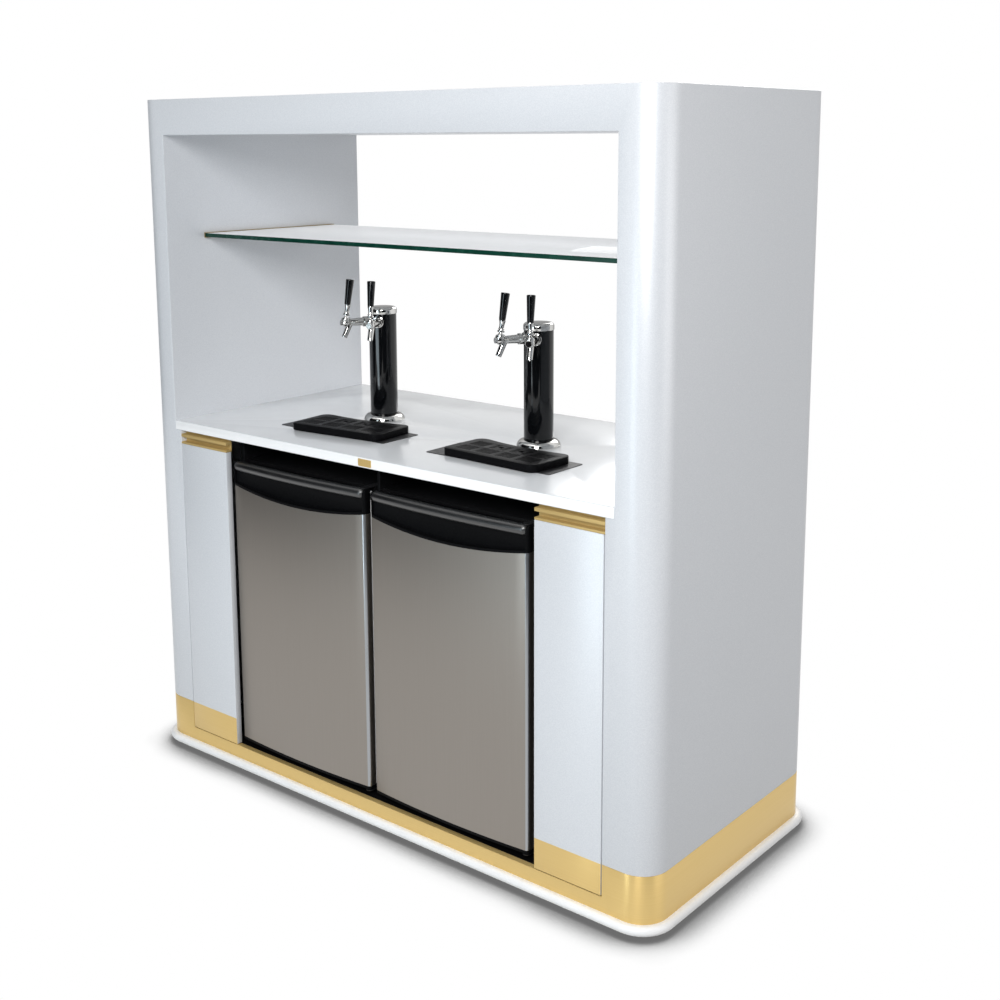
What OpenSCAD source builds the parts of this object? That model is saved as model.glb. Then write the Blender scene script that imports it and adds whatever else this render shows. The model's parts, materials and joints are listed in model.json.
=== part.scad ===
// Mobile beer bar: a cabinet on hidden casters with an open serving window,
// two compact fridges, two narrow cupboards and two twin-tap beer towers.
// Millimetres, +Z up, origin on the floor under the middle of the bar.
// The working side with the fridges faces -Y.

/* [Body] */
// Overall width across the painted side walls
body_w = 1829; // [1700:1:2100]
// Depth from the working face to the guest face
body_d = 792; // [740:1:900]
// Overall height from the floor
body_h = 2000; // [1850:1:2200]
// Radius of the four upright corners
corner_r = 75; // [40:1:110]
// Thickness of the painted boards
board = 18; // [12:1:22]
// Thickness of each hollow side wall
wall_t = 114; // [100:1:160]
// Height of the beam over the serving window
canopy_h = 102; // [60:1:160]

/* [Base] */
// Gap between the floor and the bumper
floor_gap = 12; // [8:1:20]
// Height of the bumper strip
bumper_h = 25; // [20:1:34]
// How far the bumper stands out
bumper_out = 18; // [16:1:26]
// Height of the deck that carries the fridges
deck_top = 76; // [70:1:90]
// Top of the gold band
band_top = 161; // [140:1:190]

/* [Counter] */
// Height of the counter top
counter_top = 1052; // [1030:1:1110]
// Thickness of the counter slab
counter_t = 28; // [20:1:40]
// Width of the posts under the counter ends
post_w = 25; // [18:1:40]
// Width of the small plate on the counter edge
edge_plate_w = 48; // [30:1:70]
// Height of the small plate on the counter edge
edge_plate_h = 20; // [14:1:24]

/* [Glass shelf] */
// Depth of the glass
glass_d = 526; // [300:1:700]
// Thickness of the glass
glass_t = 12; // [8:1:15]
// Top face of the glass above the floor
glass_top = 1607; // [1540:1:1700]

/* [Cupboards] */
// Gap around a cupboard door
door_gap = 3; // [3:0.5:5]
// Height of the pull channel over a cupboard door
pull_h = 30; // [24:1:36]
// Black gap between the pull channel and the counter
pull_gap = 10; // [6:1:14]
// Diameter of a door pivot pin
pivot_d = 8; // [6:0.5:9]

/* [Fridges] */
// Width of a fridge door
fridge_w = 538; // [480:1:545]
// Gap between the two fridge doors
fridge_gap = 21; // [14:1:30]
// How far the pair of fridges stands left of the middle
fridge_shift = 11; // [0:1:14]
// Gap between a fridge door and the cupboard door beside it
bay_clear = 10; // [8:1:14]
// Top of the fridge cabinets above the floor
fridge_top = 957; // [900:1:985]
// Depth of a fridge cabinet without its door
fridge_d = 480; // [420:1:540]
// Wall of a fridge cabinet with its insulation
fridge_wall = 42; // [30:1:60]
// Thickness of a fridge door without its gasket
fridge_door_t = 48; // [40:1:60]
// Bow of the steel door front
door_bow = 12; // [4:1:16]
// Dip of the steel panel's upper edge
arc_dip = 23; // [5:1:30]
// Height of the black door cap at its ends
cap_h = 67; // [60:1:90]
// Height of the grip bar along the top of the cap
grip_h = 26; // [20:1:32]

/* [Beer towers] */
// Distance of the left tower from the middle
tower_left = 319; // [260:1:340]
// Distance of the right tower from the middle
tower_right = 269; // [260:1:340]
// Place of the towers front to back
tower_y = 10; // [-40:1:60]
// Diameter of the tower column
column_d = 82; // [70:1:90]
// Height of a tower with its cap
tower_h = 342; // [300:1:400]
// Half of the angle between the two taps of a tower
tap_angle = 26; // [22:1:40]
// Distance of a tap lever from the column axis
tap_reach = 115; // [110:1:130]
// Height of the tap bodies over the counter
tap_z = 300; // [280:1:316]
// Length of a tap handle
handle_l = 74; // [50:1:110]

/* [Drip trays] */
// Width of a drip tray
tray_w = 325; // [240:1:340]
// Depth of a drip tray
tray_d = 158; // [120:1:180]
// Height of a drip tray
tray_h = 20; // [16:1:30]
// Width of the slotted plate under a tray
plate_w = 418; // [350:1:440]
// Depth of the slotted plate under a tray
plate_d = 147; // [120:1:180]

/* [Casters] */
// Diameter of a caster wheel
wheel_d = 44; // [36:1:46]
// Width of a caster wheel
wheel_w = 20; // [16:1:26]
// Trail between the swivel stud and the axle
trail = 16; // [12:1:20]

/* [Hidden] */
$fn = 96;
eps = 0.01;
fit = 0.05;
loose = 0.3;
sides = [-1, 1];

// Body lines
hw = body_w / 2;
hd = body_d / 2;
in_x = hw - wall_t;
post_x = in_x - post_w;
window_top = body_h - canopy_h;
counter_low = counter_top - counter_t;
deck_low = deck_top - board;

// Glass shelf in its two wall channels
channel_w = 12;
channel_t = 1.5;
glass_y = -hd + 402;

// Cupboards: the pull channel hangs under the counter, the door closes up to it
pull_top = counter_low - pull_gap;
pull_low = pull_top - pull_h;
pull_t = 3;
pull_top_lip = 9;
pull_low_lip = 6;
pull_depth = 22;
door_low = deck_top + door_gap;
door_high = pull_low - 0.5;
bay_x = fridge_gap / 2 + fridge_w + fridge_shift + bay_clear;
divider_t = 16;
divider_x = bay_x - divider_t / 2;
door_w = post_x - door_gap - bay_x;
door_x = post_x - door_gap - door_w / 2;
door_pivot_in = 16;
door_pivot_x = post_x - door_gap - door_pivot_in;
pivot_bite = 13;

// Fridges, both hinged at their right edge
fridge_x = [-(fridge_w + fridge_gap) / 2 - fridge_shift, (fridge_w + fridge_gap) / 2 - fridge_shift];
foot_h = 12;
foot_d = 30;
foot_in = 40;
cab_low = deck_top + foot_h;
cab_w = fridge_w - 6;
door_front = -hd + 4;
door_edge = door_front + door_bow;
liner_t = 12;
door_back = door_front + fridge_door_t;
door_edge_r = 11;
sheet = 1.2;
bar_clear = 1.5;
skin_back = door_back - liner_t;
gasket_t = 9.5;
cab_front = door_back + gasket_t + 0.5;
cab_back = cab_front + fridge_d;
hinge_in = 14;
hinge_y = door_edge + hinge_in;
hinge_x = fridge_w / 2 - hinge_in;
hinge_t = 3;
hinge_pin_d = 8;
hinge_bite = 12;
hinge_arm = 22;
hinge_foot = 40;
trim_low = deck_top + 21;
trim_h = 8;
steel_low = trim_low + trim_h;
cap_top = fridge_top - 1;
steel_high = cap_top - cap_h;
arc_low = steel_high - arc_dip;
bow_r = (pow(fridge_w / 2, 2) + pow(door_bow, 2)) / (2 * door_bow);
arc_r = (pow(fridge_w / 2, 2) + pow(arc_dip, 2)) / (2 * arc_dip);
grip_depth = 8;
cap_lip = 7;
step_h = 210;
step_d = 190;
niche_h = 170;
niche_d = 150;
liner_skin = 2.5;
compressor_d = 120;
compressor_h = 130;

// Towers: a tap's own frame has +X along its outlet, z = 0 at its body axis
tower_low = counter_top;
column_t = 2;
line_rim = 24;
flange_d = 121;
flange_h = 19;
flange_lip = 4;
cap_rise = 20;
column_top = tower_h - cap_rise;
shank_r = 10;
collar_r = 17;
collar_l = 8;
nut_r = 11.5;
nut_t = 6;
nut_end = sqrt(pow(column_d / 2 - column_t, 2) - pow(nut_r, 2)) - 0.1;
bonnet_r = 12;
ball_r = 8;
lever_up = 14;
lever_lean = 8;
pivot_z = lever_up - 2;
nut_out = 12;
spout_l = 48;
spout_r = [9.2, 8.2];
spout_back = 14;
spout_tilt = 155;
lever_collar_r = 9.5;
ferrule_l = 14;
handle_low = 42;
handle_bite = 12;
handle_r = [9, 12.2];
stem_r = 4;
tap_list = [[-1, -1], [-1, 1], [1, -1], [1, 1]];

// Drip trays, each turned a little where it was put down
slotted_t = 1.5;
plate_in = 80;
tray_wall = 3;
tray_r = 24;
tray_ledge = 4;
grate_t = 4;
tray_spot = [[-270, 214 - hd, 5.5], [302, 221 - hd, -3.2]];
plate_y = -hd + 152 + plate_d / 2;
tray_low = counter_top + slotted_t;

// Casters
caster_x = hw - 160;
caster_y = hd - 130;
caster_list = [[-1, -1], [1, -1], [-1, 1], [1, 1]];
plate_t = 3;
caster_plate_w = 64;
stud_d = 12;
axle_d = 8;
leg_t = 3;
crown_low = wheel_d + 2.5;
crown_high = deck_low - plate_t - loose;

// A block given by its lowest corner and its highest corner
module block(low, high) {
    translate(low) cube(high - low);
}

// A rectangle with round corners, centred
module rounded(w, d, r) {
    square([w - 2 * r, d], center = true);
    square([w, d - 2 * r], center = true);
    for (x = sides, y = sides) translate([x * (w / 2 - r), y * (d / 2 - r)]) circle(r);
}

// The bar's outline seen from above, drawn in by a margin
module outline(margin) {
    rounded(body_w - 2 * margin, body_d - 2 * margin, corner_r - margin);
}

// The board-thick wall that follows the outline
module outline_wall() {
    difference() {
        outline(0);
        outline(board);
    }
}

// Deck of board inside the skirt
module base_deck() {
    color("burlywood") translate([0, 0, deck_low]) linear_extrude(board) outline(board);
}

// Section of the bumper: flat back, half-round nose
module bumper_section() {
    square([bumper_out - bumper_h / 2, bumper_h]);
    translate([bumper_out - bumper_h / 2, bumper_h / 2]) circle(bumper_h / 2);
}

// The half of the section that stands outside the skirt
module bumper_profile() {
    intersection() {
        bumper_section();
        square([bumper_out, bumper_h]);
    }
}

// One straight length of the bumper, along +Y from the origin
module bumper_run(length) {
    rotate([90, 0, 180]) mirror([1, 0, 0]) linear_extrude(length) bumper_profile();
}

// White bumper round the foot of the bar
module bumper_rail() {
    sx = hw - corner_r;
    sy = hd - corner_r;
    color("white") translate([0, 0, floor_gap]) {
        for (turn = [0, 180]) rotate(turn) {
            translate([hw, -sy, 0]) bumper_run(2 * sy);
            translate([-sx, -hd, 0]) rotate(-90) bumper_run(2 * sx);
            translate([sx, -sy, 0]) rotate(-90) rotate_extrude(angle = 90)
                translate([corner_r, 0]) bumper_profile();
            translate([sx, sy, 0]) rotate_extrude(angle = 90) translate([corner_r, 0]) bumper_profile();
        }
    }
}

// Gold band round the foot, left low in front of the fridges and cupboards
module gold_skirt() {
    color("goldenrod") difference() {
        translate([0, 0, floor_gap]) linear_extrude(band_top - floor_gap) outline_wall();
        block([-post_x, -hd - 1, deck_top], [post_x, 0, band_top + 1]);
    }
}

// Mounting plates of the casters with their fixed swivel studs
module caster_plates() {
    color("silver") for (c = caster_list) translate([c[0] * caster_x, c[1] * caster_y, 0]) {
        translate([0, 0, deck_low - plate_t]) linear_extrude(plate_t) rounded(caster_plate_w, caster_plate_w, 6);
        translate([0, 0, crown_low + 1]) cylinder(d = stud_d, h = deck_low - plate_t - crown_low - 1 + eps);
    }
}

// Swivel fork with its two legs and the axle
module caster_fork(k) {
    c = caster_list[k - 1];
    leg_x = wheel_w / 2 + 1;
    color("dimgray") translate([c[0] * caster_x, c[1] * caster_y, 0]) difference() {
        union() {
            translate([0, 0, crown_low]) cylinder(d = caster_plate_w - 8, h = crown_high - crown_low);
            for (x = [leg_x, -leg_x - leg_t]) translate([x, 0, 0]) rotate([90, 0, 90]) linear_extrude(leg_t) {
                polygon([[-12, crown_low + 1], [18, crown_low + 1], [trail + 8, wheel_d / 2], [trail - 8, wheel_d / 2]]);
                translate([trail, wheel_d / 2]) circle(8);
            }
            translate([-leg_x - leg_t, trail, wheel_d / 2]) rotate([0, 90, 0])
                cylinder(d = axle_d, h = 2 * (leg_x + leg_t));
        }
        translate([0, 0, crown_low - 1]) cylinder(d = stud_d + 2 * fit, h = crown_high);
    }
}

// Caster wheel with a rounded tread
module caster_wheel(k) {
    c = caster_list[k - 1];
    tread = 4;
    color("darkslategray") translate([c[0] * caster_x, c[1] * caster_y + trail, wheel_d / 2])
        rotate([0, 90, 0]) rotate_extrude() difference() {
            union() {
                translate([0, -wheel_w / 2]) square([wheel_d / 2 - tread, wheel_w]);
                translate([0, -wheel_w / 2 + tread]) square([wheel_d / 2, wheel_w - 2 * tread]);
                for (y = sides) translate([wheel_d / 2 - tread, y * (wheel_w / 2 - tread)]) circle(tread);
            }
            translate([0, -wheel_w]) square([axle_d / 2 + fit, 2 * wheel_w]);
        }
}

// Painted side shell with both rounded corners and the stile returns
module side_shell(side) {
    color("gainsboro") translate([0, 0, band_top]) linear_extrude(body_h - band_top) intersection() {
        outline_wall();
        translate([side * (in_x + wall_t), 0]) square([2 * wall_t, 2 * body_d], center = true);
    }
}

// Inner linings of the hollow side walls
module inner_walls() {
    color("gainsboro") for (s = [0, 1]) mirror([s, 0, 0])
        block([in_x, -hd + board, deck_top], [in_x + board, hd - board, body_h - board]);
}

// Front and rear boards of the beam over the window
module canopy_fascias() {
    color("gainsboro") for (s = [0, 1]) mirror([0, s, 0])
        block([-in_x, -hd, window_top], [in_x, -hd + board, body_h]);
}

// Ceiling of the serving window
module soffit_panel() {
    color("gainsboro") block([-in_x, -hd + board, window_top], [in_x, hd - board, window_top + board]);
}

// Lid of the bar, let in between the shells
module top_panel() {
    color("gainsboro") translate([0, 0, body_h - board]) linear_extrude(board) outline(board);
}

// Posts that carry the counter ends
module counter_posts() {
    color("gainsboro") for (s = [0, 1]) mirror([s, 0, 0])
        block([post_x, -hd, band_top], [in_x, hd, counter_low]);
}

// White counter slab with a line hole under each tower
module countertop() {
    color("white") difference() {
        block([-in_x, -hd, counter_low], [in_x, hd, counter_top]);
        for (s = sides) at_tower(s) translate([0, 0, -counter_t - 1])
            cylinder(d = column_d - line_rim, h = counter_t + 2);
    }
}

// Small gold plate on the counter edge
module edge_plate() {
    color("goldenrod") translate([0, -hd, counter_low + counter_t / 2]) rotate([90, 0, 0])
        linear_extrude(1.5) rounded(edge_plate_w, edge_plate_h, 2);
}

// Lower panel on the guest side
module back_panel() {
    color("gainsboro") block([-post_x, hd - board, band_top], [post_x, hd, counter_low]);
}

// Black partitions beside and between the fridges
module bay_dividers() {
    color("black") {
        for (s = [0, 1]) mirror([s, 0, 0])
            block([divider_x, cab_front, deck_top], [divider_x + divider_t, hd - board, counter_low]);
        block([-fridge_shift - fridge_gap / 4, cab_front, deck_top],
            [-fridge_shift + fridge_gap / 4, hd - board, counter_low]);
    }
}

// Glass shelf held at both ends
module glass_shelf() {
    color("lightcyan", 0.6) block([-in_x + channel_t + 1, glass_y - glass_d / 2, glass_top - glass_t],
        [in_x - channel_t - 1, glass_y + glass_d / 2, glass_top]);
}

// Gold channels on the side walls that hold the glass
module shelf_channels() {
    low = glass_top - glass_t;
    color("goldenrod") for (s = [0, 1]) mirror([s, 0, 0]) difference() {
        block([in_x - channel_w, glass_y - glass_d / 2 - 2, low - channel_t],
            [in_x, glass_y + glass_d / 2 + 2, glass_top + loose + channel_t]);
        block([in_x - channel_w - 1, -hd, low], [in_x - channel_t, hd, glass_top + loose]);
    }
}

// Section of the pull channel, depth along +X, height along +Y
module pull_section() {
    square([pull_depth, pull_low_lip]);
    translate([0, pull_h - pull_top_lip]) square([pull_depth, pull_top_lip]);
    translate([pull_depth - pull_t, 0]) square([pull_t, pull_h + pull_gap]);
}

// Gold finger channels over the cupboard doors, fixed under the counter
module pull_channels() {
    color("goldenrod") for (s = [0, 1]) mirror([s, 0, 0])
        translate([post_x, -hd, pull_low]) rotate([90, 0, 90]) mirror([0, 0, 1])
            linear_extrude(door_w + door_gap) pull_section();
}

// Pins that carry the cupboard doors, one below and one above each
module door_pivots() {
    color("silver") for (s = sides) translate([s * door_pivot_x, -hd + board / 2, 0]) {
        translate([0, 0, deck_top]) cylinder(d = pivot_d, h = door_gap + pivot_bite);
        translate([0, 0, door_high - pivot_bite]) cylinder(d = pivot_d, h = pivot_bite + 0.5);
    }
}

// Narrow cupboard door with its two pivot bores
module cupboard_door(side) {
    color("gainsboro") difference() {
        translate([side * door_x, -hd + board / 2, door_low])
            translate([-door_w / 2, -board / 2, 0]) cube([door_w, board, door_high - door_low]);
        translate([side * door_pivot_x, -hd + board / 2, 0]) {
            translate([0, 0, door_low - 1]) cylinder(d = pivot_d + 2 * fit, h = pivot_bite + 2);
            translate([0, 0, door_high - pivot_bite - 1]) cylinder(d = pivot_d + 2 * fit, h = pivot_bite + 2);
        }
    }
}

// Places children at the left or right fridge
module at_fridge(side) {
    translate([fridge_x[side < 0 ? 0 : 1], 0, 0]) children();
}

// Inside of a fridge with the step over the compressor, drawn in by a margin
module fridge_space(margin) {
    half = cab_w / 2 - fridge_wall - margin;
    low = cab_low + fridge_wall + margin;
    high = fridge_top - fridge_wall - margin;
    back = cab_back - fridge_wall - margin;
    difference() {
        block([-half, cab_front - 1, low], [half, back, high]);
        block([-half - 1, back - step_d + fridge_wall, low - 1], [half + 1, back + 1, cab_low + step_h + margin]);
    }
}

// Insulated cabinet of a fridge with its feet and the open compressor niche
module fridge_cabinet(side) {
    color("black") at_fridge(side) {
        difference() {
            block([-cab_w / 2, cab_front, cab_low], [cab_w / 2, cab_back, fridge_top]);
            fridge_space(0);
            block([-cab_w / 2 + 20, cab_back - niche_d, cab_low + 6], [cab_w / 2 - 20, cab_back + 1, cab_low + niche_h]);
        }
        for (x = sides, y = [cab_front + foot_in, cab_back - foot_in])
            translate([x * (cab_w / 2 - foot_in), y, deck_top]) cylinder(d = foot_d, h = foot_h + eps);
    }
}

// White plastic liners inside the fridges
module fridge_liners() {
    color("whitesmoke") for (s = sides) at_fridge(s) intersection() {
        difference() {
            fridge_space(0);
            fridge_space(liner_skin);
        }
        block([-cab_w, cab_front, 0], [cab_w, cab_back, body_h]);
    }
}

// Hinge plates above and below each fridge door with their pins
module fridge_hinges() {
    arm = hinge_arm;
    color("dimgray") for (s = sides) at_fridge(s) translate([hinge_x, 0, 0]) {
        block([-arm / 2, hinge_y, fridge_top], [arm / 2, cab_front + hinge_foot, fridge_top + hinge_t]);
        translate([0, hinge_y, fridge_top]) cylinder(d = arm, h = hinge_t);
        translate([0, hinge_y, cap_top - hinge_bite]) cylinder(d = hinge_pin_d, h = hinge_bite + 1 + eps);
        block([-arm / 2, hinge_y, cab_low], [arm / 2, cab_front, cab_low + hinge_t]);
        block([-arm / 2, cab_front - hinge_t, cab_low], [arm / 2, cab_front, steel_low]);
        translate([0, hinge_y, cab_low]) cylinder(d = arm, h = hinge_t);
        translate([0, hinge_y, cab_low]) cylinder(d = hinge_pin_d, h = trim_low + trim_h - 1 - cab_low);
    }
}

// Sealed compressors on their feet in the niches
module compressors() {
    r = compressor_d / 2;
    dome = 40;
    color("black") for (s = sides) at_fridge(s) translate([0, cab_back - niche_d / 2, cab_low + 6]) {
        rotate_extrude() {
            translate([0, 8]) square([r, compressor_h - 8 - dome]);
            translate([0, compressor_h - dome]) intersection() {
                translate([0, dome - r]) circle(r);
                square([r, dome]);
            }
        }
        for (x = sides, y = sides) translate([x * (r - 12), y * (r - 18), 0]) cylinder(d = 16, h = 8 + eps);
    }
}

// Bowed plan of a fridge door with rounded upright edges up to a given back, drawn in by a margin
module door_plan(back, margin) {
    r = bow_r - margin;
    edge_r = door_edge_r - margin;
    inner = fridge_w / 2 - door_edge_r;
    front = door_front + margin;
    round_y = door_front + bow_r - sqrt(pow(r - edge_r, 2) - pow(inner, 2));
    intersection() {
        translate([-inner, front]) square([2 * inner, back - front]);
        translate([0, door_front + bow_r]) circle(r, $fn = 720);
    }
    translate([-inner - edge_r, round_y]) square([2 * (inner + edge_r), back - round_y]);
    for (x = sides) translate([x * inner, round_y]) circle(edge_r);
}

// Round bar through the door that draws the smiling edge, grown by a margin
module smile(margin) {
    translate([0, 0, arc_low + arc_r]) rotate([90, 0, 0])
        cylinder(r = arc_r - margin, h = 2 * body_d, center = true, $fn = 720);
}

// Brushed steel front of a fridge door, folded from sheet and open at the back
module fridge_panel(side) {
    color("gray") at_fridge(side) difference() {
        translate([0, 0, steel_low]) linear_extrude(steel_high - steel_low) door_plan(skin_back, 0);
        smile(0);
        difference() {
            translate([0, 0, steel_low + sheet]) linear_extrude(steel_high - steel_low)
                door_plan(skin_back + 1, sheet);
            smile(-sheet);
        }
    }
}

// Bullnose grip bar that follows the bow, its ends rounded in plan
module grip_bar() {
    r = grip_h / 2;
    depth = skin_back - door_front + 1;
    reach = asin(fridge_w / 2 / (bow_r - depth)) + 1;
    intersection() {
        translate([0, door_front + bow_r, cap_top - r]) rotate(-90 - reach)
            rotate_extrude(angle = 2 * reach, $fn = 720) {
                translate([bow_r - r, 0]) circle(r);
                translate([bow_r - depth, -r]) square([depth - r, grip_h]);
            }
        translate([0, 0, cap_top - 2 * grip_h]) linear_extrude(3 * grip_h) door_plan(skin_back, -bar_clear);
        block([-fridge_w / 2, door_front - grip_h, 0], [fridge_w / 2, skin_back, body_h]);
    }
}

// Black cap with the finger grip along the top, and the strip along the bottom
module fridge_trim(side) {
    bar_low = cap_top - grip_h;
    color("black") at_fridge(side) difference() {
        union() {
            grip_bar();
            intersection() {
                smile(0);
                union() {
                    block([-fridge_w / 2, door_edge + grip_depth, arc_low], [fridge_w / 2, skin_back, bar_low + cap_lip]);
                    difference() {
                        translate([0, 0, arc_low]) linear_extrude(bar_low + cap_lip - arc_low) door_plan(skin_back, 0);
                        intersection() {
                            smile(cap_lip);
                            block([-fridge_w / 2 + cap_lip, door_front - 1, arc_low],
                                [fridge_w / 2 - cap_lip, skin_back + 1, cap_top]);
                        }
                    }
                }
            }
            translate([0, 0, trim_low]) linear_extrude(trim_h) door_plan(skin_back, 0);
        }
        translate([hinge_x, hinge_y, cap_top - hinge_bite - 1])
            cylinder(d = hinge_pin_d + 2 * fit, h = hinge_bite + 2);
        translate([hinge_x, hinge_y, trim_low - 1]) cylinder(d = hinge_pin_d + 2 * fit, h = trim_h + 1);
    }
}

// White inner face of a fridge door with its shallow pocket
module door_liner(side) {
    rim = 46;
    top_in = 8;
    color("whitesmoke") at_fridge(side) difference() {
        block([-fridge_w / 2 + sheet / 2, skin_back, steel_low], [fridge_w / 2 - sheet / 2, door_back, cap_top - top_in]);
        block([-fridge_w / 2 + rim, door_back - liner_t / 2, steel_low + rim],
            [fridge_w / 2 - rim, door_back + 1, cap_top - rim]);
    }
}

// Soft magnetic gasket round the inner face of a fridge door
module door_gasket(side) {
    edge = 14;
    band = 14;
    color("gray") at_fridge(side) difference() {
        block([-fridge_w / 2 + edge, door_back, steel_low + edge],
            [fridge_w / 2 - edge, door_back + gasket_t, cap_top - edge]);
        block([-fridge_w / 2 + edge + band, door_back - 1, steel_low + edge + band],
            [fridge_w / 2 - edge - band, door_back + gasket_t + 1, cap_top - edge - band]);
    }
}

// Places children at a tower, left -1 or right 1, on the counter
module at_tower(side) {
    translate([side < 0 ? -tower_left : tower_right, tower_y, tower_low]) children();
}

// Places children at one tap: +X runs out along the tap, z = 0 on its body axis
module at_tap(tap) {
    at_tower(tap[0]) translate([0, 0, tap_z]) rotate(-90 + tap[1] * tap_angle) children();
}

// Gloss black columns with their shank holes
module tower_columns() {
    color("black") for (s = sides) difference() {
        at_tower(s) difference() {
            cylinder(d = column_d, h = column_top);
            translate([0, 0, -1]) cylinder(d = column_d - 2 * column_t, h = tower_h);
        }
        for (t = sides) at_tap([s, t]) rotate([0, 90, 0]) cylinder(r = shank_r + fit, h = column_d);
    }
}

// Chrome flanges at the foot of the columns: a low rim and a domed ring
module tower_flanges() {
    r = column_d / 2 + fit;
    dome_r = flange_d / 2 - r - 1;
    color("silver") for (s = sides) at_tower(s) rotate_extrude() intersection() {
        union() {
            translate([r, 0]) square([flange_d / 2 - r, flange_lip]);
            translate([r, flange_lip]) scale([1, (flange_h - flange_lip) / dome_r]) circle(dome_r);
        }
        translate([r, 0]) square([flange_d, flange_h]);
    }
}

// Chrome caps on the columns with a plug that goes inside
module tower_caps() {
    r = column_d / 2;
    color("silver") for (s = sides) at_tower(s) translate([0, 0, column_top]) rotate_extrude() {
        square([r + 1.5, cap_rise / 2]);
        square([r + 1.5 - cap_rise / 2, cap_rise]);
        intersection() {
            translate([r + 1.5 - cap_rise / 2, cap_rise / 2]) circle(cap_rise / 2);
            square([r + 2, cap_rise]);
        }
        translate([0, -10]) square([r - column_t - loose, 10]);
    }
}

// Shanks through the column wall, each with an outer collar and an inner nut
module tap_shanks() {
    r = column_d / 2;
    color("silver") for (tap = tap_list) at_tap(tap) rotate([0, 90, 0]) difference() {
        union() {
            translate([0, 0, nut_end - nut_t]) cylinder(r = shank_r, h = r + collar_l + 2 - nut_end + nut_t);
            translate([0, 0, r]) cylinder(r = collar_r, h = collar_l / 2);
            translate([0, 0, r]) cylinder(r = collar_r - 2.5, h = collar_l);
            translate([0, 0, nut_end - nut_t]) cylinder(r = nut_r, h = nut_t);
        }
        cylinder(d = 6, h = 2 * r);
    }
}

// Body, nut, front plug and spout of one tap, along +X
module faucet_body() {
    start = column_d / 2 + collar_l;
    difference() {
        union() {
            translate([start, 0, 0]) rotate([0, 90, 0]) cylinder(r = collar_r - 2, h = nut_out);
            translate([start + nut_out, 0, 0]) rotate([0, 90, 0])
                cylinder(r1 = bonnet_r, r2 = bonnet_r - 2, h = tap_reach - start - nut_out);
            translate([tap_reach, 0, 0]) sphere(bonnet_r + 1);
            translate([tap_reach, 0, 0]) rotate([0, 90, 0]) cylinder(r = bonnet_r - 4, h = bonnet_r + 4);
            translate([tap_reach, 0, 0]) cylinder(r = bonnet_r, h = lever_up);
            translate([tap_reach - spout_back, 0, 0]) rotate([0, spout_tilt, 0])
                cylinder(r1 = spout_r[0], r2 = spout_r[1], h = spout_l);
        }
        translate([start - 1, 0, 0]) rotate([0, 90, 0]) cylinder(r = shank_r + fit, h = 4);
        translate([tap_reach, 0, pivot_z]) cylinder(r = ball_r + loose, h = lever_up);
        translate([tap_reach, 0, pivot_z]) sphere(ball_r + loose);
        translate([tap_reach - spout_back, 0, 0]) rotate([0, spout_tilt, 0])
            translate([0, 0, spout_l / 2]) cylinder(r = spout_r[1] - 2.5, h = spout_l);
    }
}

// The four chrome tap bodies
module faucets() {
    color("silver") for (tap = tap_list) at_tap(tap) faucet_body();
}

// Places children on a tap's lever, which leans back a little: z = 0 at its ball
module at_lever(k) {
    at_tap(tap_list[k - 1]) translate([tap_reach, 0, pivot_z]) rotate([0, -lever_lean, 0]) children();
}

// Chrome lever of one tap with its ball, collar, neck and ferrule
module tap_lever(k) {
    rise = ball_r + 1.5;
    color("silver") at_lever(k) {
        sphere(ball_r);
        cylinder(r = stem_r, h = handle_low + handle_bite);
        translate([0, 0, rise]) cylinder(r = lever_collar_r, h = 5);
        translate([0, 0, rise + 5]) cylinder(r1 = lever_collar_r - 1, r2 = stem_r + 2, h = 5);
        translate([0, 0, handle_low - ferrule_l]) cylinder(r1 = stem_r + 2, r2 = handle_r[0], h = ferrule_l);
    }
}

// Black handle of one tap, wider towards its flat top
module tap_handle(k) {
    chamfer = 1.5;
    color("black") at_lever(k) translate([0, 0, handle_low]) difference() {
        union() {
            cylinder(r1 = handle_r[0], r2 = handle_r[1], h = handle_l - chamfer);
            translate([0, 0, handle_l - chamfer]) cylinder(r1 = handle_r[1], r2 = handle_r[1] - chamfer, h = chamfer);
        }
        translate([0, 0, -1]) cylinder(r = stem_r + fit, h = handle_bite + 1);
    }
}

// Slotted dark plates that lie on the counter under the trays
module drain_plates() {
    slot_w = 5;
    slot_l = 22;
    plain_end = 50;
    columns = floor((plate_w - 2 * plain_end) / (2 * slot_w));
    rows = floor((plate_d - 16) / (slot_l + 8));
    color("dimgray") for (s = sides) translate([s * (plate_w / 2 + plate_in), plate_y, counter_top])
        linear_extrude(slotted_t) difference() {
            rounded(plate_w, plate_d, 6);
            for (i = [0 : columns - 1], j = [0 : rows - 1])
                translate([(i - (columns - 1) / 2) * 2 * slot_w, (j - (rows - 1) / 2) * (slot_l + 8)])
                    square([slot_w, slot_l], center = true);
        }
}

// Places children at the left or right tray
module at_tray(side) {
    spot = tray_spot[side < 0 ? 0 : 1];
    translate([spot[0], spot[1], tray_low]) rotate(spot[2]) children();
}

// Outline of a tray with its hollow rear edge, drawn in by a margin
module tray_plan(margin) {
    hollow_r = 700;
    hollow = 12;
    difference() {
        rounded(tray_w - 2 * margin, tray_d - 2 * margin, tray_r - margin);
        translate([0, tray_d / 2 - hollow + hollow_r]) circle(hollow_r + margin, $fn = 720);
    }
}

// Black plastic drip tray with a ledge for its grate
module drip_tray(side) {
    color("black") at_tray(side) difference() {
        linear_extrude(tray_h) tray_plan(0);
        translate([0, 0, tray_wall]) linear_extrude(tray_h) tray_plan(tray_wall + tray_ledge);
        translate([0, 0, tray_h - grate_t]) linear_extrude(tray_h) tray_plan(tray_wall);
    }
}

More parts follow.
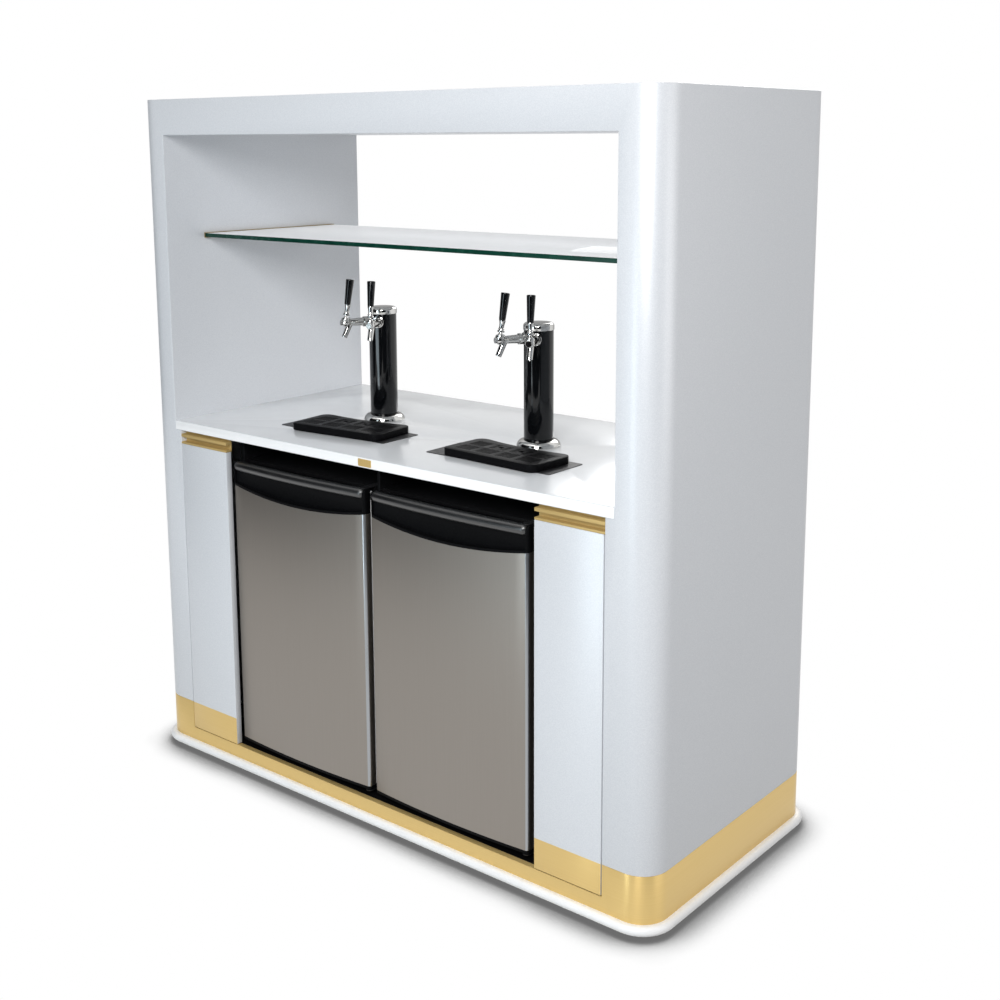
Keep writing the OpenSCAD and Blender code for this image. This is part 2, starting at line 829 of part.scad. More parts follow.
// Black grate in the tray: four panels of slots, with a square finger hole in each inner panel
module drip_grate(side) {
    panel = tray_w / 4.5;
    slot = [4, tray_d / 3.6];
    pitch = 2 * slot[0];
    rows = [-tray_d / 5, tray_d / 7];
    hole = 14;
    pad = 15;
    color("black") at_tray(side) translate([0, 0, tray_h - grate_t]) linear_extrude(grate_t) difference() {
        tray_plan(tray_wall + loose);
        for (c = [-1.5 : 1.5], i = [-3 : 3], y = rows)
            if (y < 0 || abs(c) > 1 || abs(i * pitch) > pad)
                translate([c * panel + i * pitch, y]) square(slot, center = true);
        for (x = sides) translate([x * panel / 2, rows[1]]) square(hole, center = true);
    }
}

base_deck();
bumper_rail();
gold_skirt();
caster_plates();
side_shell(-1);  // side_shell_left
side_shell(1);  // side_shell_right
inner_walls();
canopy_fascias();
soffit_panel();
top_panel();
counter_posts();
countertop();
edge_plate();
back_panel();
bay_dividers();
glass_shelf();
shelf_channels();
pull_channels();
door_pivots();
cupboard_door(-1);  // cupboard_door_left
cupboard_door(1);  // cupboard_door_right
fridge_cabinet(-1);  // fridge_cabinet_left
fridge_cabinet(1);  // fridge_cabinet_right
fridge_liners();
fridge_hinges();
compressors();
fridge_panel(-1);  // fridge_panel_left
fridge_panel(1);  // fridge_panel_right
fridge_trim(-1);  // fridge_trim_left
fridge_trim(1);  // fridge_trim_right
door_liner(-1);  // door_liner_left
door_liner(1);  // door_liner_right
door_gasket(-1);  // door_gasket_left
door_gasket(1);  // door_gasket_right
tower_columns();
tower_flanges();
tower_caps();
tap_shanks();
faucets();
tap_lever(1);  // tap_lever_1
tap_lever(2);  // tap_lever_2
tap_lever(3);  // tap_lever_3
tap_lever(4);  // tap_lever_4
tap_handle(1);  // tap_handle_1
tap_handle(2);  // tap_handle_2
tap_handle(3);  // tap_handle_3
tap_handle(4);  // tap_handle_4
drain_plates();
drip_tray(-1);  // drip_tray_left
drip_tray(1);  // drip_tray_right
drip_grate(-1);  // drip_grate_left
drip_grate(1);  // drip_grate_right
caster_fork(1);  // caster_fork_1
caster_fork(2);  // caster_fork_2
caster_fork(3);  // caster_fork_3
caster_fork(4);  // caster_fork_4
caster_wheel(1);  // caster_wheel_1
caster_wheel(2);  // caster_wheel_2
caster_wheel(3);  // caster_wheel_3
caster_wheel(4);  // caster_wheel_4
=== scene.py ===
import json
import math

import bmesh
import bpy
from mathutils import Matrix, Vector


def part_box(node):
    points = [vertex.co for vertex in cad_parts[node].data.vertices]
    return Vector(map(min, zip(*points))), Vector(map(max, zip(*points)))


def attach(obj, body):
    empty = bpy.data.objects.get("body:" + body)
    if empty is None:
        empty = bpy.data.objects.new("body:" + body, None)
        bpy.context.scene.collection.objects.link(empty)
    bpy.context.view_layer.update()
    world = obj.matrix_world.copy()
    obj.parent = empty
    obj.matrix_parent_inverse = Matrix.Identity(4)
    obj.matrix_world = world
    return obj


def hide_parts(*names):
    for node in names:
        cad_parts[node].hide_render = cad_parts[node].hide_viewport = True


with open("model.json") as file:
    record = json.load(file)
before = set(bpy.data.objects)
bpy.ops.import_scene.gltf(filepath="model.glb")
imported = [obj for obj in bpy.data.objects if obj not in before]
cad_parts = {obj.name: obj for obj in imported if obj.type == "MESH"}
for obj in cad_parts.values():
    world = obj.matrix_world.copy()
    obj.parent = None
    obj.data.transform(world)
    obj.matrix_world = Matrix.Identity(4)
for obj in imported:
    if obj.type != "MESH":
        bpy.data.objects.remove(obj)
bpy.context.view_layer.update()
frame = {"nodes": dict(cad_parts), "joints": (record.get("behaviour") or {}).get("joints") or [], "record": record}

# Studio: a pale floor that runs out of sight, soft boxes round the bar, and a white surround.
# The camera stands where the photograph was taken, to the right of the working side.
CAMERA_PLACE = Vector((2.511, -2.894, 1.879))
CAMERA_YAW = math.radians(39.32)
CAMERA_DIP = math.radians(9.96)
CAMERA_ROLL = math.radians(0.22)
SENSOR_WIDTH = 36.0
FOCAL_PIXELS = 1364.0
AXIS_ROW = 380.0
IMAGE_SIDE = 1000.0
WHITE = (1.0, 1.0, 1.0, 1.0)
ROOM_TINT = (0.95, 0.97, 1.0, 1.0)
ROOM_STRENGTH = 0.25


def new_material(name):
    """An empty node material, its tree and its output node."""
    material = bpy.data.materials.new(name)
    material.use_nodes = True
    tree = material.node_tree
    tree.nodes.clear()
    out = tree.nodes.new("ShaderNodeOutputMaterial")
    return material, tree, out


def add_node(tree, kind, **values):
    """A node with its plain properties set."""
    node = tree.nodes.new(kind)
    for key, value in values.items():
        setattr(node, key, value)
    return node


def math_node(tree, operation, first, second):
    """A math node whose two inputs are sockets or numbers."""
    node = add_node(tree, "ShaderNodeMath", operation=operation)
    for place, value in enumerate((first, second)):
        if isinstance(value, (int, float)):
            node.inputs[place].default_value = value
        else:
            tree.links.new(value, node.inputs[place])
    return node.outputs[0]


def seen_directly(tree):
    """One for rays from the camera, from mirrors and through glass, zero for all other rays."""
    path = add_node(tree, "ShaderNodeLightPath")
    mirrored = math_node(tree, "ADD", path.outputs["Is Camera Ray"], path.outputs["Is Glossy Ray"])
    straight = math_node(tree, "ADD", mirrored, path.outputs["Is Transmission Ray"])
    return math_node(tree, "MINIMUM", straight, 1.0)


camera_data = bpy.data.cameras.new("studio_camera")
camera_data.sensor_width = SENSOR_WIDTH
camera_data.lens = FOCAL_PIXELS / IMAGE_SIDE * SENSOR_WIDTH
camera_data.shift_y = (AXIS_ROW - IMAGE_SIDE / 2) / IMAGE_SIDE
camera = bpy.data.objects.new("studio_camera", camera_data)
bpy.context.scene.collection.objects.link(camera)
level = math.cos(CAMERA_DIP)
ahead = Vector((-math.sin(CAMERA_YAW) * level, math.cos(CAMERA_YAW) * level, -math.sin(CAMERA_DIP)))
across = Vector((math.cos(CAMERA_YAW), math.sin(CAMERA_YAW), 0.0))
upright = Matrix((across, across.cross(ahead), -ahead)).transposed()
aim = upright @ Matrix.Rotation(-CAMERA_ROLL, 3, "Z")
camera.matrix_world = Matrix.Translation(CAMERA_PLACE) @ aim.to_4x4()
bpy.context.scene.camera = camera
bpy.context.scene.view_settings.view_transform = "Standard"

world = bpy.data.worlds.new("white_surround")
world.use_nodes = True
bpy.context.scene.world = world
sky = world.node_tree
sky.nodes.clear()
sky_out = add_node(sky, "ShaderNodeOutputWorld")
room_light = add_node(sky, "ShaderNodeBackground")
room_light.inputs["Color"].default_value = ROOM_TINT
room_light.inputs["Strength"].default_value = ROOM_STRENGTH
white_wall = add_node(sky, "ShaderNodeBackground")
white_wall.inputs["Color"].default_value = WHITE
white_wall.inputs["Strength"].default_value = 1.0
wall_mix = add_node(sky, "ShaderNodeMixShader")
sky.links.new(seen_directly(sky), wall_mix.inputs[0])
sky.links.new(room_light.outputs[0], wall_mix.inputs[1])
sky.links.new(white_wall.outputs[0], wall_mix.inputs[2])
sky.links.new(wall_mix.outputs[0], sky_out.inputs["Surface"])


def soft_box(name, place, target, width, height, watts, colour=(1.0, 1.0, 1.0)):
    """A rectangular lamp that faces a target point."""
    lamp = bpy.data.lights.new(name, "AREA")
    lamp.shape = "RECTANGLE"
    lamp.size = width
    lamp.size_y = height
    lamp.energy = watts
    lamp.color = colour
    lamp_object = bpy.data.objects.new(name, lamp)
    bpy.context.scene.collection.objects.link(lamp_object)
    lamp_object.location = place
    lamp_object.rotation_euler = (Vector(target) - Vector(place)).to_track_quat("-Z", "Y").to_euler()


soft_box("key_box", place=(2.2, -4.0, 3.3), target=(0.4, 0.0, 1.0), width=1.8, height=1.6, watts=170.0)
soft_box("right_box", place=(4.8, 0.6, 1.9), target=(0.9, 0.0, 1.0), width=2.2, height=2.6, watts=26.0,
         colour=(1.0, 0.985, 0.965))
soft_box("back_box", place=(-0.8, 3.4, 3.1), target=(-0.2, 0.0, 1.4), width=2.2, height=1.6, watts=84.0)
soft_box("window_box", place=(-0.21, -3.6, 1.1), target=(0.1, 0.0, 1.1), width=0.7, height=2.1, watts=26.0,
         colour=(0.78, 0.92, 1.0))
soft_box("top_box", place=(-0.7, -1.5, 4.4), target=(0.0, -0.4, 1.0), width=2.8, height=1.0, watts=14.0)

FLOOR_REACH = 30.0
FLOOR_GREY = (0.40, 0.40, 0.40, 1.0)
CONTACT_REACH = 0.13
CONTACT_SHADES = [(0.45, 0.15), (0.60, 0.22), (0.68, 0.36), (0.74, 0.55), (0.80, 0.74), (0.86, 0.88),
                  (0.93, 1.0)]
# Places of the colour sockets on a mix node.
COLOUR_MIX_FIRST = 6
COLOUR_MIX_SECOND = 7
COLOUR_MIX_RESULT = 2


def ramp(tree, value, *stops):
    """A colour ramp on a value; each stop is its place and its colour or grey."""
    node = add_node(tree, "ShaderNodeValToRGB")
    points = node.color_ramp.elements
    while len(points) < len(stops):
        points.new(1.0)
    for point, (place, colour) in zip(points, stops):
        point.position = place
        grey = isinstance(colour, (int, float))
        point.color = (colour, colour, colour, 1.0) if grey else (*colour, 1.0)
    tree.links.new(value, node.inputs[0])
    return node.outputs[0]


def stage_sheet(name, points, faces, material):
    """A sheet of the studio, kept apart from the part."""
    mesh = bpy.data.meshes.new(name)
    mesh.from_pydata(points, [], faces)
    mesh.materials.append(material)
    sheet = bpy.data.objects.new(name, mesh)
    bpy.context.scene.collection.objects.link(sheet)
    return sheet


floor_material, tree, out = new_material("pale_floor")
floor_paint = add_node(tree, "ShaderNodeBsdfDiffuse")
floor_paint.inputs["Color"].default_value = FLOOR_GREY
floor_glow = add_node(tree, "ShaderNodeEmission")
floor_glow.inputs["Strength"].default_value = 1.0
contact = add_node(tree, "ShaderNodeAmbientOcclusion")
contact.inputs["Distance"].default_value = CONTACT_REACH
contact_shade = ramp(tree, contact.outputs["AO"], *CONTACT_SHADES)
floor_path = add_node(tree, "ShaderNodeLightPath")
floor_view = add_node(tree, "ShaderNodeMix", data_type="RGBA")
floor_view.inputs[COLOUR_MIX_FIRST].default_value = WHITE
tree.links.new(floor_path.outputs["Is Camera Ray"], floor_view.inputs[0])
tree.links.new(contact_shade, floor_view.inputs[COLOUR_MIX_SECOND])
tree.links.new(floor_view.outputs[COLOUR_MIX_RESULT], floor_glow.inputs["Color"])
floor_mix = add_node(tree, "ShaderNodeMixShader")
tree.links.new(seen_directly(tree), floor_mix.inputs[0])
tree.links.new(floor_paint.outputs[0], floor_mix.inputs[1])
tree.links.new(floor_glow.outputs[0], floor_mix.inputs[2])
tree.links.new(floor_mix.outputs[0], out.inputs["Surface"])
floor_corners = [(x * FLOOR_REACH, y * FLOOR_REACH, 0.0) for x, y in ((-1, -1), (1, -1), (1, 1), (-1, 1))]
stage_sheet("studio_floor", floor_corners, [(0, 1, 2, 3)], floor_material)

# Dark curtain: black cloth in an arc behind the camera, which only the polished pieces mirror.
# It gives the chrome and the black columns their dark flanks and takes no light from the bar.
CURTAIN_REACH = 5.5
CURTAIN_TOP = 5.0
CURTAIN_START = math.radians(172)
CURTAIN_TURN = math.radians(176)
CURTAIN_STEPS = 36
CLOTH_WEAVE = 40.0
CLOTH_DARK = (0.01, 0.01, 0.012)
CLOTH_PALE = (0.03, 0.03, 0.034)
curtain_material, tree, out = new_material("black_cloth")
cloth = add_node(tree, "ShaderNodeBsdfDiffuse")
weave = add_node(tree, "ShaderNodeTexNoise")
weave.inputs["Scale"].default_value = CLOTH_WEAVE
tree.links.new(ramp(tree, weave.outputs[0], (0.0, CLOTH_DARK), (1.0, CLOTH_PALE)), cloth.inputs["Color"])
tree.links.new(cloth.outputs[0], out.inputs["Surface"])
curtain_points = []
for step in range(CURTAIN_STEPS + 1):
    angle = CURTAIN_START + CURTAIN_TURN * step / CURTAIN_STEPS
    for height in (0.0, CURTAIN_TOP):
        curtain_points.append((CURTAIN_REACH * math.cos(angle), CURTAIN_REACH * math.sin(angle), height))
curtain_faces = [(2 * k, 2 * k + 2, 2 * k + 3, 2 * k + 1) for k in range(CURTAIN_STEPS)]
curtain = stage_sheet("black_curtain", curtain_points, curtain_faces, curtain_material)
curtain.visible_camera = False
curtain.visible_diffuse = False
curtain.visible_transmission = False
curtain.visible_shadow = False

# Base deck: plywood faced with black film, on which everything stands, screwed inside the foot band.
# Only the strip under the fridge doors shows, where the film looks dead black.
BODY_OF = {node: body for body, nodes in frame["record"]["behaviour"]["bodies"].items() for node in nodes}
# The film's black is far darker than real film, so that the bay under the counter stays black: partly painted
# shade.
FILM_DARK = (0.0022, 0.0022, 0.0026)
FILM_PALE = (0.0048, 0.0048, 0.0054)


def shader_group(name, inputs, outputs):
    """An empty node group with its input and output nodes."""
    group = bpy.data.node_groups.new(name, "ShaderNodeTree")
    for label, kind, value in inputs:
        made = group.interface.new_socket(name=label, in_out="INPUT", socket_type=kind)
        if value is not None:
            made.default_value = value
    for label, kind in outputs:
        group.interface.new_socket(name=label, in_out="OUTPUT", socket_type=kind)
    return group, group.nodes.new("NodeGroupInput"), group.nodes.new("NodeGroupOutput")


def place_group(tree, group, **values):
    """A group node in a material with its own input values."""
    node = tree.nodes.new("ShaderNodeGroup")
    node.node_tree = group
    for label, value in values.items():
        node.inputs[label].default_value = value
    return node


def object_place(tree, stretch=(1.0, 1.0, 1.0)):
    """The point on the piece in metres, stretched along each axis."""
    place = add_node(tree, "ShaderNodeTexCoord")
    mapping = add_node(tree, "ShaderNodeMapping")
    mapping.inputs["Scale"].default_value = stretch
    tree.links.new(place.outputs["Object"], mapping.inputs["Vector"])
    return mapping.outputs["Vector"]


# Long fine streaks and slow clouds, for the grain of the film and for brushed metal.
LINES, lines_in, lines_out = shader_group(
    "drawn_lines",
    [("Place", "NodeSocketVector", None), ("Fineness", "NodeSocketFloat", 1.0),
     ("Wander", "NodeSocketFloat", 0.2)],
    [("Streak", "NodeSocketFloat"), ("Cloud", "NodeSocketFloat")])
streak_noise = add_node(LINES, "ShaderNodeTexNoise")
streak_noise.inputs["Detail"].default_value = 4.0
cloud_noise = add_node(LINES, "ShaderNodeTexNoise")
cloud_noise.inputs["Scale"].default_value = 2.2
cloud_noise.inputs["Detail"].default_value = 2.0
LINES.links.new(lines_in.outputs["Place"], streak_noise.inputs["Vector"])
LINES.links.new(lines_in.outputs["Fineness"], streak_noise.inputs["Scale"])
LINES.links.new(lines_in.outputs["Wander"], streak_noise.inputs["Distortion"])
LINES.links.new(lines_in.outputs["Place"], cloud_noise.inputs["Vector"])
LINES.links.new(streak_noise.outputs[0], lines_out.inputs["Streak"])
LINES.links.new(cloud_noise.outputs[0], lines_out.inputs["Cloud"])


def bump(tree, height, depth, strength):
    """A bump from a height, with its depth in metres."""
    node = add_node(tree, "ShaderNodeBump")
    node.inputs["Strength"].default_value = strength
    node.inputs["Distance"].default_value = depth
    tree.links.new(height, node.inputs["Height"])
    return node.outputs[0]


def principled(tree, out, **values):
    """The material's own shader with its constant values set on its sockets."""
    shader = add_node(tree, "ShaderNodeBsdfPrincipled")
    for label, value in values.items():
        shader.inputs[label.replace("_", " ")].default_value = value
    tree.links.new(shader.outputs[0], out.inputs["Surface"])
    return shader


def dress(node, material):
    """Gives a solid of the frame its finish."""
    solid = frame["nodes"][node]
    solid.data.materials.clear()
    solid.data.materials.append(material)
    for face in solid.data.polygons:
        face.material_index = 0


black_board, tree, out = new_material("black_laminate")
shader = principled(tree, out, Specular_IOR_Level=0.12)
grain = place_group(tree, LINES, Fineness=1.0, Wander=0.6)
tree.links.new(object_place(tree, stretch=(3.0, 60.0, 60.0)), grain.inputs["Place"])
film_colour = ramp(tree, grain.outputs["Streak"], (0.3, FILM_DARK), (0.7, FILM_PALE))
tree.links.new(film_colour, shader.inputs["Base Color"])
tree.links.new(ramp(tree, grain.outputs["Cloud"], (0.3, 0.45), (0.7, 0.60)), shader.inputs["Roughness"])
tree.links.new(bump(tree, grain.outputs["Streak"], depth=0.0001, strength=0.5), shader.inputs["Normal"])
dress("base_deck", black_board)

# Casters: pressed zinc forks on bolted plates with dark nylon wheels, hidden behind the bumper.
# The fork turns on the plate's stud and the wheel on the fork's axle.
PATCH_LOW = 0.3
PATCH_HIGH = 0.7
MOULD_GRAIN = 0.4

# Gloss that drifts in patches, for nearly every finish of the bar.
UNEVEN, uneven_in, uneven_out = shader_group(
    "uneven_gloss",
    [("Place", "NodeSocketVector", None), ("Scale", "NodeSocketFloat", 30.0), ("Low", "NodeSocketFloat", 0.2),
     ("High", "NodeSocketFloat", 0.4)],
    [("Roughness", "NodeSocketFloat"), ("Patch", "NodeSocketFloat")])
patch_noise = add_node(UNEVEN, "ShaderNodeTexNoise")
patch_noise.inputs["Detail"].default_value = 5.0
patch_range = add_node(UNEVEN, "ShaderNodeMapRange")
patch_range.inputs["From Min"].default_value = PATCH_LOW
patch_range.inputs["From Max"].default_value = PATCH_HIGH
UNEVEN.links.new(uneven_in.outputs["Place"], patch_noise.inputs["Vector"])
UNEVEN.links.new(uneven_in.outputs["Scale"], patch_noise.inputs["Scale"])
UNEVEN.links.new(patch_noise.outputs[0], patch_range.inputs["Value"])
UNEVEN.links.new(uneven_in.outputs["Low"], patch_range.inputs["To Min"])
UNEVEN.links.new(uneven_in.outputs["High"], patch_range.inputs["To Max"])
UNEVEN.links.new(patch_range.outputs[0], uneven_out.inputs["Roughness"])
UNEVEN.links.new(patch_noise.outputs[0], uneven_out.inputs["Patch"])


def uneven(tree, shader, scale, gloss):
    """Puts patchy gloss between two roughness limits on a shader and returns the patch value."""
    node = place_group(tree, UNEVEN, Scale=scale, Low=gloss[0], High=gloss[1])
    tree.links.new(object_place(tree), node.inputs["Place"])
    tree.links.new(node.outputs["Roughness"], shader.inputs["Roughness"])
    return node.outputs["Patch"]


def patchy_finish(name, dark, pale, scale, gloss, grain_depth=0.0, **values):
    """A finish whose colour and gloss drift in patches, raised as a fine grain where it has a depth."""
    material, tree, out = new_material(name)
    shader = principled(tree, out, **values)
    patch = uneven(tree, shader, scale, gloss)
    colour = ramp(tree, patch, (PATCH_LOW, dark), (PATCH_HIGH, pale))
    tree.links.new(colour, shader.inputs["Base Color"])
    if grain_depth:
        tree.links.new(bump(tree, patch, grain_depth, MOULD_GRAIN), shader.inputs["Normal"])
    return material


zinc = patchy_finish("bright_zinc", dark=(0.50, 0.51, 0.53), pale=(0.68, 0.69, 0.71), scale=60.0,
                     gloss=(0.22, 0.42), Metallic=1.0)
nylon = patchy_finish("dark_nylon", dark=(0.03, 0.03, 0.032), pale=(0.06, 0.06, 0.064), scale=120.0,
                      gloss=(0.40, 0.62))
dress("caster_plates", zinc)
for corner in (1, 2, 3, 4):
    dress(f"caster_fork_{corner}", zinc)
    dress(f"caster_wheel_{corner}", nylon)

# Bumper: white vinyl strip with a half-round nose, pushed onto a rail round the foot.
# The vinyl is soft and slightly waxy, so its gloss is low and patchy.
vinyl = patchy_finish("white_vinyl", dark=(0.90, 0.90, 0.90), pale=(0.94, 0.94, 0.94), scale=25.0,
                      gloss=(0.30, 0.46), Coat_Weight=0.15, Coat_Roughness=0.25)
dress("bumper_rail", vinyl)

# Gold foot band: brushed gold laminate bent round the corners, with the brush lines along the bar.
# Its cut edges are softened by hand, as on every board of the bar.
ROUND_EDGE = math.radians(28)
FLAT = math.radians(0.4)
WELD = 1e-6
GOLD_SHADES = [(0.755, 0.535, 0.205), (0.775, 0.555, 0.22), (0.795, 0.575, 0.235)]
GOLD_SPREAD = 0.06


def round_edges(mesh, width, segments=2, weld=WELD):
    """Joins the flat faces of a mesh, rounds its sharp edges and shades it smooth."""
    shape = bmesh.new()
    shape.from_mesh(mesh)
    bmesh.ops.remove_doubles(shape, verts=shape.verts, dist=weld)
    bmesh.ops.dissolve_limit(shape, angle_limit=FLAT, verts=shape.verts, edges=shape.edges)
    inner = [edge for edge in shape.edges if len(edge.link_faces) == 2]
    sharp = [edge for edge in inner if edge.calc_face_angle() > ROUND_EDGE]
    bmesh.ops.bevel(shape, geom=sharp, offset=width, segments=segments, profile=0.5, affect="EDGES",
                    clamp_overlap=True)
    for face in shape.faces:
        face.smooth = True
    shape.to_mesh(mesh)
    shape.free()
    mesh.set_sharp_from_angle(angle=ROUND_EDGE)


def softened(node, name, finish, width, segments=2):
    """A copy of a solid with its sharp edges rounded, which stands for that solid."""
    copy = bpy.data.objects.new(name, frame["nodes"][node].data.copy())
    copy.data.materials.clear()
    bpy.context.scene.collection.objects.link(copy)
    round_edges(copy.data, width, segments)
    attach(copy, BODY_OF[node])
    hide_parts(node)
    copy.data.materials.append(finish)
    return copy


def gold_finish(name, stretch, shine, metal, smear=0.3, tone=1.0):
    """Brushed gold with its lines along the axis that is stretched least and the glint smeared across."""
    dark, middle, pale = [[tone * part for part in colour] for colour in GOLD_SHADES]
    material, tree, out = new_material(name)
    shader = principled(tree, out, Metallic=metal, Anisotropic=smear, Anisotropic_Rotation=0.25,
                        Specular_IOR_Level=0.25)
    lines = place_group(tree, LINES, Fineness=1.0, Wander=0.1)
    tree.links.new(object_place(tree, stretch), lines.inputs["Place"])
    streak = lines.outputs["Streak"]
    colour = ramp(tree, streak, (0.28, dark), (0.5, middle), (0.74, pale))
    tree.links.new(colour, shader.inputs["Base Color"])
    gloss = ramp(tree, streak, (0.25, shine), (0.75, shine + GOLD_SPREAD))
    tree.links.new(gloss, shader.inputs["Roughness"])
    tree.links.new(bump(tree, streak, depth=0.00001, strength=0.15), shader.inputs["Normal"])
    return material


band_gold = gold_finish("brushed_gold_band", stretch=(2.0, 2.0, 700.0), shine=0.30, metal=0.55, smear=0.85)
softened("gold_skirt", "foot_band", band_gold, width=0.0012)

# Painted body: side walls, beam, ceiling, lid, posts and guest panel, lacquered as one seamless shell.
# Pearl silver-white lacquer with very fine flakes under a clear coat.
PAINTED = ["side_shell_left", "side_shell_right", "inner_walls", "canopy_fascias", "soffit_panel",
           "top_panel", "counter_posts", "back_panel"]
SEAM_WELD = 1e-5
PEARL_DARK = (0.655, 0.675, 0.708)
PEARL_MIDDLE = (0.69, 0.71, 0.74)
PEARL_PALE = (0.728, 0.745, 0.772)
FLAKES, flakes_in, flakes_out = shader_group(
    "pearl_flakes",
    [("Place", "NodeSocketVector", None), ("Size", "NodeSocketFloat", 900.0)],
    [("Flake", "NodeSocketFloat"), ("Drift", "NodeSocketFloat")])
flake_cells = add_node(FLAKES, "ShaderNodeTexVoronoi")
flake_grey = add_node(FLAKES, "ShaderNodeSeparateColor")
drift_noise = add_node(FLAKES, "ShaderNodeTexNoise")
drift_noise.inputs["Scale"].default_value = 1.6
FLAKES.links.new(flakes_in.outputs["Place"], flake_cells.inputs["Vector"])
FLAKES.links.new(flakes_in.outputs["Size"], flake_cells.inputs["Scale"])
FLAKES.links.new(flakes_in.outputs["Place"], drift_noise.inputs["Vector"])
FLAKES.links.new(flake_cells.outputs["Color"], flake_grey.inputs[0])
FLAKES.links.new(flake_grey.outputs[0], flakes_out.inputs["Flake"])
FLAKES.links.new(drift_noise.outputs[0], flakes_out.inputs["Drift"])

pearl, tree, out = new_material("pearl_lacquer")
shader = principled(tree, out, Metallic=0.12, Coat_Weight=0.2, Coat_Roughness=0.34)
flakes = place_group(tree, FLAKES, Size=650.0)
tree.links.new(object_place(tree), flakes.inputs["Place"])
flake = flakes.outputs["Flake"]
pearl_colour = ramp(tree, flake, (0.0, PEARL_DARK), (0.55, PEARL_MIDDLE), (1.0, PEARL_PALE))
tree.links.new(pearl_colour, shader.inputs["Base Color"])
tree.links.new(ramp(tree, flakes.outputs["Drift"], (0.3, 0.36), (0.7, 0.44)), shader.inputs["Roughness"])
tree.links.new(bump(tree, flake, depth=0.00002, strength=0.25), shader.inputs["Normal"])


def weld_points(mesh):
    """Joins the points of a mesh that lie on each other."""
    shape = bmesh.new()
    shape.from_mesh(mesh)
    bmesh.ops.remove_doubles(shape, verts=shape.verts, dist=WELD)
    shape.to_mesh(mesh)
    shape.free()


def welded(nodes, name, finish, width):
    """One shell made of several solids that meet, with its outer edges rounded."""
    shell = bpy.data.objects.new(name, frame["nodes"][nodes[0]].data.copy())
    bpy.context.scene.collection.objects.link(shell)
    shell.data.materials.clear()
    for node in nodes[1:]:
        board = bpy.data.objects.new("board", frame["nodes"][node].data.copy())
        bpy.context.scene.collection.objects.link(board)
        weld_points(shell.data)
        weld_points(board.data)
        join = shell.modifiers.new("join", "BOOLEAN")
        join.operation = "UNION"
        join.solver = "EXACT"
        join.use_self = True
        join.object = board
        bpy.context.view_layer.update()
        result = bpy.data.meshes.new_from_object(shell.evaluated_get(bpy.context.evaluated_depsgraph_get()))
        shell.modifiers.clear()
        shell.data = result
        bpy.data.objects.remove(board)
    round_edges(shell.data, width, weld=SEAM_WELD)
    shell.data.materials.clear()
    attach(shell, BODY_OF[nodes[0]])
    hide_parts(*nodes)
    shell.data.materials.append(finish)


welded(PAINTED, "painted_body", pearl, width=0.0015)

# Counter: polished white slab between the side walls, with a hole under each tower. Its front faces are
# painted a brighter white than its top: painted light on the front and painted shade on the top.
# It lies on the posts and the partitions, and its arrises are eased by hand.
FACING = 0.9


def finish_faces(piece, finish, chosen):
    """Gives a second finish to the faces of a piece that a test chooses."""
    piece.data.materials.append(finish)
    for face in piece.data.polygons:
        if chosen(face):
            face.material_index = 1


slab_top_painted_shade = patchy_finish("white_slab_painted_shade", dark=(0.665, 0.68, 0.695), pale=(0.69, 0.704, 0.718), scale=6.0,
                           gloss=(0.16, 0.24), Coat_Weight=0.12, Coat_Roughness=0.08)
front_painted_light = patchy_finish("front_edge_painted_light", dark=(0.95, 0.955, 0.96), pale=(0.97, 0.972, 0.975), scale=6.0,
                           gloss=(0.16, 0.24), Coat_Weight=0.3, Coat_Roughness=0.05)
slab = softened("countertop", "counter_slab", slab_top_painted_shade, width=0.002, segments=3)
# The faces turned to the front get the brighter white: painted light.
finish_faces(slab, front_painted_light, lambda face: face.normal.y < -FACING)

# Edge plate: small gold plate glued to the front edge of the counter, over the fridges.
# It is brushed gold like the channels, with its lines upright.
plate_gold = gold_finish("edge_plate_gold", stretch=(900.0, 900.0, 6.0), shine=0.36, metal=0.8)
softened("edge_plate", "counter_edge_plate", plate_gold, width=0.0004)

# Partitions: the same black-faced board, standing beside and between the fridges.
# They stand on the deck and carry the counter.
softened("bay_dividers", "bay_partitions", black_board, width=0.0008)

# Glass shelf: thick float glass with ground edges, pushed into gold channels on both side walls.
# The sheet is dressed white, a painted reflection of the white surround, and its edges dark green,
# because one sees along the glass there.
EDGE_TILT = 0.4
glass_painted_reflection, tree, out = new_material("shelf_glass")
shader = principled(tree, out, Base_Color=WHITE, Transmission_Weight=0.08, IOR=1.5, Specular_IOR_Level=0.0)
uneven(tree, shader, scale=9.0, gloss=(0.0, 0.02))
green_edge = patchy_finish("green_glass_edge", dark=(0.002, 0.026, 0.017), pale=(0.006, 0.050, 0.033),
                           scale=30.0, gloss=(0.2, 0.3), Specular_IOR_Level=0.12)
glass = softened("glass_shelf", "shelf_sheet", glass_painted_reflection, width=0.0005)
finish_faces(glass, green_edge, lambda face: abs(face.normal.z) < EDGE_TILT)
channel_gold = gold_finish("shelf_channel_gold", stretch=(600.0, 3.0, 600.0), shine=0.42, metal=0.5, tone=0.4)
softened("shelf_channels", "wall_channels", channel_gold, width=0.0004)

